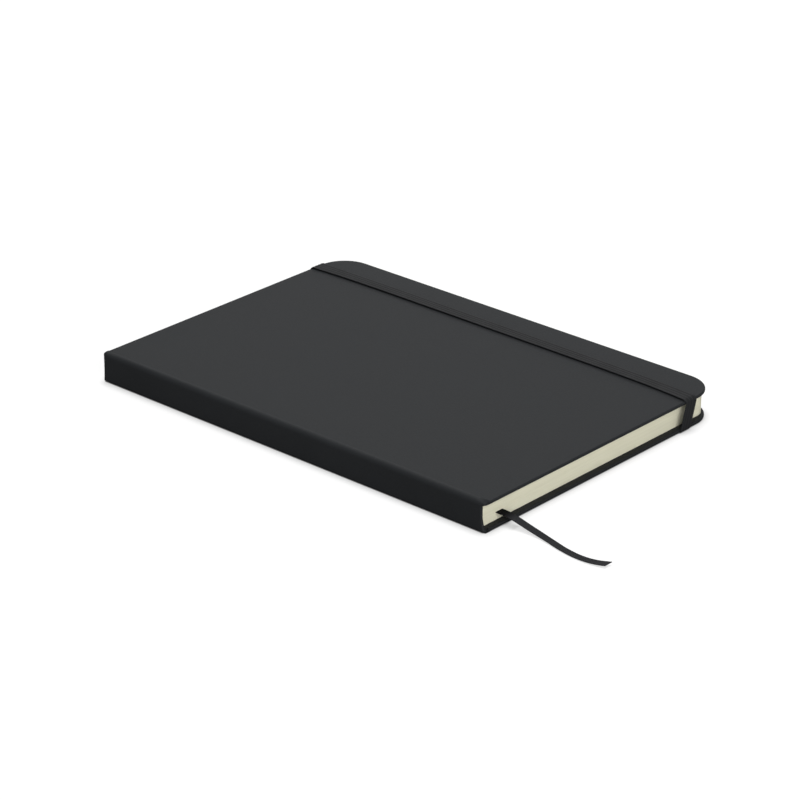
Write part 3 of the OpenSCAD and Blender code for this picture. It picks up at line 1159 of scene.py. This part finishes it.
@dataclass
class Bookmark:
    """The ribbon that leaves the pages at the tail and lies on the table; its fall is in mm."""

    book: Book
    width: float = 4.2 * MM
    thick: float = 0.3 * MM
    length: float = 0.2551
    cut: float = 0.42
    narrowed: float = 0.88
    level_run: float = 6 * MM
    roll: float = 3.6
    roll_back: float = 6.0
    rolled_by: float = 0.4
    back_from: float = 0.6
    # painted shade on the ribbon's start, under the front cover, over this stretch of its run in metres
    painted_shade_run: Spot = (0.2005, 0.2065)
    edge: tuple[Spot, ...] = ((1, 0), (0.985, 0.7), (0.93, 1), (0.6, 0.86), (0.2, 0.8))
    start: Point = (-67.9 * MM, 96 * MM, 4.7 * MM)
    fall: tuple[Point, ...] = (
        (-62.1, -101, 4.7), (-61.8, -105, 4.502), (-61.3, -109.5, 3.6), (-60.9, -115.2, 1.998),
        (-61.2, -121.5, 0.951), (-62.3, -128, 0.498), (-63.8, -134.8, 0.3), (-64.8, -141.8, 0.3),
        (-64.9, -147.6, 0.498), (-64.2, -152.3, 0.802), (-62.9, -156, 1.092),
    )

    def section(self) -> tuple[np.ndarray, np.ndarray]:
        """Lay out the section from its edge profile, mirrored to all four sides.

        Returns:
            Places of its points across and up.
        """
        over = [*self.edge, *((-x, z) for x, z in self.edge[::-1])]
        under = [(-x, -z) for x, z in over[1:-1]]
        xs, zs = np.array([*over, *under]).T
        return xs * self.width / 2, zs * self.thick / 2

    def build(self) -> Piece:
        """Build the ribbon as a flat tube that replaces its solid.

        Returns:
            The ribbon.
        """
        seen = curve_through(np.array(self.fall) * MM, 3)
        begin = np.array(self.start)
        inner = [begin + (seen[0] - begin) * t for t in np.linspace(0, 1, 9)[:-1]]
        line = np.array([*inner, *seen])
        last = len(line) - 1
        xs, zs = self.section()
        run = np.concatenate([[0], np.cumsum(np.linalg.norm(np.diff(line, axis=0), axis=1))])
        free = run[len(inner)] + self.level_run
        rings = []
        for i, p in enumerate(line):
            way = line[min(i + 1, last)] - line[max(i - 1, 0)]
            way /= np.linalg.norm(way)
            side = np.cross(way, (0, 0, 1))
            side /= np.linalg.norm(side)
            up = np.cross(side, way)
            share = max(run[i] - free, 0.0) / (run[-1] - free)
            rolled = min(share / self.rolled_by, 1.0)
            turned_back = max(share - self.back_from, 0.0) / (1 - self.back_from)
            a = math.radians(self.roll * rolled - self.roll_back * turned_back)
            side, up = side * math.cos(a) + up * math.sin(a), up * math.cos(a) - side * math.sin(a)
            wide = 1.0 + (self.narrowed - 1.0) * rolled
            slant = self.cut if i == last else 0.0
            rings.append([p + x * wide * side + z * up - slant * x * way for x, z in zip(xs, zs)])
        piece = tube("bookmark_ribbon_woven", np.array(rings), xs, run)
        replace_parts(piece, "bookmark_ribbon")
        log.info("ribbon: %.1f mm long", run[-1] / MM)
        return piece

    def dress(self, piece: Piece) -> None:
        """Weave the ribbon and let it ride on the pages.

        Args:
            piece: The ribbon.
        """
        finish = WovenFinish(Weave.RIBBON, specular=0.02, painted_shade_run=self.painted_shade_run)
        dress(piece, finish.make())
        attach(piece, "book_block")


@dataclass
class ClosingBand:
    """The elastic loop: two leaning legs and a strand over the front, and its pressed ends."""

    book: Book
    width: float = 6.3 * MM
    leg_width: float = 7.2 * MM
    fold_width: float = 7.2 * MM
    thick: float = 0.72 * MM
    leg_thick: float = 0.5 * MM
    fold_r: float = 1.3 * MM
    gap: float = 0.1 * MM
    inset: float = 17 * MM
    lean: float = 0.75 * MM
    pull: float = 1.7 * MM
    flare: float = 0.6 * MM
    leg_lean: float = 3.4 * MM
    foot_r: float = 0.45 * MM
    foot_z: float = 0.42 * MM
    foot_top: float = 0.95 * MM
    foot_flat: float = 0.3
    foot_thin: float = 0.8
    press: float = 0.5 * MM
    press_fill: float = 0.96
    slit: float = 11.5 * MM
    slit_fill: float = 0.9
    end_in: float = 0.15 * MM
    dip_r: float = 0.35 * MM
    rise_r: float = 0.2 * MM
    tail: float = 12 * MM
    tail_start: float = 0.5 * MM
    tail_thick: float = 0.4 * MM
    tail_fill: float = 0.95
    board_top: float = 1.05 * MM
    ribs: int = 4
    rib_depth: float = 0.09 * MM
    rib_points: int = 61
    edge_share: float = 0.1
    edge_high: float = 0.7
    undercut: float = 0.7 * MM
    # stretches the underside's UVs past the edge, into the painted shade
    under_lay: float = 1.12
    bend_start: Point = (0.057, 0, 0.0009)
    bend_end: Point = (0.057, 0, 0.0075)

    @property
    def knee(self) -> float:
        """Height at which a leg starts to fold over the front."""
        return self.book.thick + self.gap - self.fold_r

    def middle(self, y: float) -> float:
        """Find the middle of the strand.

        Args:
            y: Place along the book.

        Returns:
            X of the strand's middle there.
        """
        s = max(-1.0, min(1.0, y / self.book.half))
        x = self.book.width / 2 - self.inset + self.lean * s
        return x - self.pull * abs(s) ** 6 + self.flare * max(s, 0.0) ** 11

    def foot(self, side: int) -> float:
        """Return the X of the middle of a leg's foot, at the tail (-1) or the head (1)."""
        return self.book.width / 2 - self.inset + self.lean * side - self.pull - self.leg_lean

    def ribbed(self) -> tuple[np.ndarray, np.ndarray, np.ndarray]:
        """Lay out the ribbed section.

        Returns:
            Shares of the half width across, of the half thickness out, and of the half width
            for the UVs, which run past the edge on the underside so that the painted shade covers it.
        """
        across = np.linspace(-1, 1, self.rib_points)
        past = np.clip((np.abs(across) - (1 - self.edge_share)) / self.edge_share, 0, 1)
        edge = np.sqrt(1 - past**2)
        wave = 1 - 2 * self.rib_depth / self.thick * (0.5 + 0.5 * np.cos(across * math.pi * self.ribs))
        high = wave * (self.edge_high + (1 - self.edge_high) * edge)
        under = across * (1 - 2 * self.undercut / self.width)
        shares = np.concatenate([across, under[::-1]])
        heights = np.concatenate([high, -wave])
        lay = np.concatenate([across, across[::-1] * self.under_lay])
        return shares, heights, lay

    def strip(self, name: str, path: list[tuple[float, ...]]) -> Piece:
        """Build a ribbed strip.

        Args:
            name: Name of the piece.
            path: For each ring X, Y and Z of its middle, normal Y and Z, width and thickness.

        Returns:
            The strip, with UVs in metres.
        """
        xs, hs, lay = self.ribbed()
        rings, run, walked = [], [], 0.0
        for i, (x, y, z, ny, nz, w, t) in enumerate(path):
            if i:
                walked += math.dist((x, y, z), path[i - 1][:3])
            rings.append([(x + a * w / 2, y + h * ny * t / 2, z + h * nz * t / 2) for a, h in zip(xs, hs)])
            run.append(walked)
        log.info("%s: %.1f mm", name, walked / MM)
        return tube(name, np.array(rings), lay * self.width / 2, np.array(run))

    def leg(self, side: int) -> list[tuple[float, ...]]:
        """Plan a leg from its foot to the strand.

        Args:
            side: The tail (-1) or the head (1).

        Returns:
            Rings as strip takes them.
        """
        inner_y, knee, r = self.book.half + self.gap, self.knee, self.foot_r
        leg_y = inner_y + self.leg_thick / 2
        half: list[tuple[float, ...]] = []
        for a in np.radians(np.arange(-90, 0, 15)):
            z = self.foot_z + r * self.foot_flat * (1 + math.sin(a))
            spot = (leg_y - r + r * math.cos(a), z)
            half.append((*spot, math.cos(a), math.sin(a), self.leg_thick * self.foot_thin))
        for z in np.linspace(self.foot_top, knee, 16):
            half.append((leg_y, z, 1.0, 0.0, self.leg_thick))
        for k in range(1, 9):
            a = math.radians(10 * k)
            t = self.leg_thick + (self.thick - self.leg_thick) * k / 9
            out = self.fold_r + t / 2
            spot = (inner_y - self.fold_r + out * math.cos(a), knee + out * math.sin(a))
            half.append((*spot, math.cos(a), math.sin(a), t))
        path = []
        for y, z, ny, nz, t in half:
            drop = min(max((knee - z) / knee, 0.0), 1.0)
            x = self.middle(side * self.book.half) * (1 - drop) + self.foot(side) * drop
            wide = self.width + (self.leg_width - self.width) * min(z / self.foot_top, 1.0) ** 2
            path.append((x, side * y, z, side * ny, nz, wide, t))
        return path

    def build_loop(self) -> Piece:
        """Build the legs and the strand as one strip, replacing the moving band.

        Returns:
            The loop.
        """
        reach = self.book.half + self.gap - self.fold_r
        top_z = self.book.thick + self.gap + self.thick / 2
        strand = []
        for y in np.linspace(-reach, reach, 81):
            wide = self.width + (self.fold_width - self.width) * abs(y / self.book.half) ** 8
            strand.append((self.middle(y), y, top_z, 0.0, 1.0, wide, self.thick))
        piece = self.strip("elastic_band_woven", [*self.leg(-1), *strand, *self.leg(1)[::-1]])
        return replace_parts(piece, "elastic_band")

    def build_end(self, side: int) -> Piece:
        """Build a fixed end: a pressed run under the back cover, up the slit, and a glued tail.

        Args:
            side: The tail (-1) or the head (1).

        Returns:
            The end.
        """
        start, slit = self.book.half - self.end_in, self.book.half - self.slit
        low, high = self.press / 2, self.board_top - self.tail_thick / 2
        dip, rise, thin = self.dip_r, self.rise_r, self.tail_thick * self.tail_fill
        spots: list[tuple[float, ...]] = []
        for y in np.linspace(start, slit + dip, 14):
            spots.append((y, low, 0.0, 1.0, self.press * self.press_fill))
        for a in np.radians(np.arange(18, 91, 18)):
            spot = (slit + dip - dip * math.sin(a), low + dip * (1 - math.cos(a)))
            spots.append((*spot, math.sin(a), math.cos(a), self.press * self.slit_fill))
        for a in np.radians(np.arange(72, -1, -18)):
            spot = (slit - rise * math.cos(a), high - rise * (1 - math.sin(a)) / 2)
            spots.append((*spot, math.sin(a), math.cos(a), thin))
        for y in np.linspace(slit - self.tail_start, slit - self.tail, 12):
            spots.append((y, high, 0.0, 1.0, thin))
        x = self.foot(side)
        path = [(x, side * y, z, side * ny, nz, self.width, t) for y, z, ny, nz, t in spots]
        return self.strip("band_end_tail" if side < 0 else "band_end_head", path)

    def build(self) -> tuple[Piece, list[Piece]]:
        """Build the loop and the two fixed ends.

        Returns:
            The loop, and the ends as a list.
        """
        ends = [self.build_end(side) for side in (-1, 1)]
        for end in ends:
            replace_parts(end, "band_ends")
        return self.build_loop(), ends

    def dress(self, loop: Piece, ends: list[Piece]) -> None:
        """Weave the band, bake the loop's placement into its mesh and let the ends ride on the back cover.

        Args:
            loop: The loop.
            ends: The two fixed ends.
        """
        # painted shade on the band's side edges and underside, past half its width
        finish = WovenFinish(Weave.ELASTIC, roughness=0.75, specular=0.19, painted_shade_side=self.width / 2).make()
        dress(loop, finish)
        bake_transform(loop)
        for end in ends:
            dress(end, finish)
            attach(end, "back_cover")


@dataclass
class Case:
    """The leatherette case and its boards, endpapers and pages; its folds are X and Z in mm."""

    book: Book
    leather_nodes: tuple[str, ...] = ("front_cover_wrap", "back_cover_wrap")
    board_nodes: tuple[str, ...] = ("front_board", "back_board", "spine_board")
    paper_nodes: tuple[str, ...] = ("front_endpaper", "back_endpaper")
    skin_in: float = 0.12 * MM
    paper_in: float = 0.3 * MM
    front_skin: float = 0.2 * MM
    back_skin: float = 0.15 * MM
    paper: float = 0.012 * MM
    front_fold: tuple[Spot, ...] = (
        (-73.62, 12.15), (-73.3, 12.53), (-72.75, 12.88), (-72.1, 13.025), (-71.7, 13.04),
        (-71.1, 13.025), (-70.5, 12.97),
    )
    back_fold: tuple[Spot, ...] = (
        (-73.3, 0.17), (-72.8, 0.09), (-72.2, 0.035), (-71.9, 0.012), (-71.5, 0.01),
        (-70.9, 0.03), (-70.5, 0.06),
    )
    paper_fold: tuple[Spot, ...] = (
        (-67.5, 0.02), (-69.0, 0.04), (-70.6, 0.04), (-71.4, 0.03), (-71.55, 0.0),
        (-71.4, -0.03), (-70.6, -0.04), (-69.0, -0.04), (-67.5, -0.02),
    )

    def skins(self) -> list[Joint]:
        """Plan the strips of leatherette that bend at the hinges.

        Returns:
            The front and the back strip.
        """
        half = self.book.half - self.skin_in
        return [
            Joint(
                "front_joint_skin", "front_cover", self.front_fold, -self.front_skin, half,
                start=(-0.0727, 0, 0.013), end=(-0.0709, 0, 0.013),
            ),
            Joint(
                "back_joint_skin", "back_cover", self.back_fold, self.back_skin, half,
                start=(-0.0724, 0, 0), end=(-0.0712, 0, 0),
            ),
        ]

    def papers(self) -> list[Joint]:
        """Plan the hairpins of endpaper that open at the hinges.

        Returns:
            The front and the back strip.
        """
        b = self.book
        half = b.half - b.square - self.paper_in
        front = tuple((x, (b.thick - b.cover) / MM + z) for x, z in self.paper_fold)
        back = tuple((x, b.cover / MM - z) for x, z in self.paper_fold)
        return [
            Joint(
                "front_joint_paper", "front_cover", front, self.paper, half,
                start=(0, 0, 0.01153), end=(0, 0, 0.01147),
            ),
            Joint(
                "back_joint_paper", "back_cover", back, -self.paper, half,
                start=(0, 0, 0.00147), end=(0, 0, 0.00153),
            ),
        ]

    def build(self) -> None:
        """Build and dress the spine, the pages and the joints, and dress the carried-over solids."""
        nodes = frame["nodes"]
        leather, board, paper = LeatheretteFinish().make(), BoardFinish().make(), PaperFinish().make()
        finishes = {self.leather_nodes: leather, self.board_nodes: board, self.paper_nodes: paper}
        for names, finish in finishes.items():
            for name in names:
                dress(nodes[name], finish)
        dress(nodes["spine_lining"], WovenFinish(Weave.LINING, sheen=0.1, roughness=0.85).make())
        pages = dress(Pages(self.book).build(), PageEdgeFinish().make())
        spine = dress(Spine(self.book).build(), leather)
        for piece in (pages, spine):
            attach(piece, "book_block")
        for joint in self.skins():
            joint.finish(joint.build(), leather, Slot.LEATHERETTE)
        for joint in self.papers():
            joint.finish(joint.build(), paper, Slot.PAPER)


def main() -> None:
    """Build the camera, the cords, the studio and the book in that order, and report each piece."""
    logging.basicConfig(level=logging.INFO, format="%(name)s: %(message)s")
    bpy.context.scene.view_settings.view_transform = "Standard"
    book = Book()
    StudioCamera().build()
    bookmark = Bookmark(book)
    bookmark.dress(bookmark.build())
    Studio().build()
    band = ClosingBand(book)
    band.dress(*band.build())
    Case(book).build()
    for piece in bpy.context.scene.objects:
        if piece.type == "MESH":
            log.info("%s: %d faces", piece.name, len(piece.data.polygons))


if __name__ == "__main__":
    main()
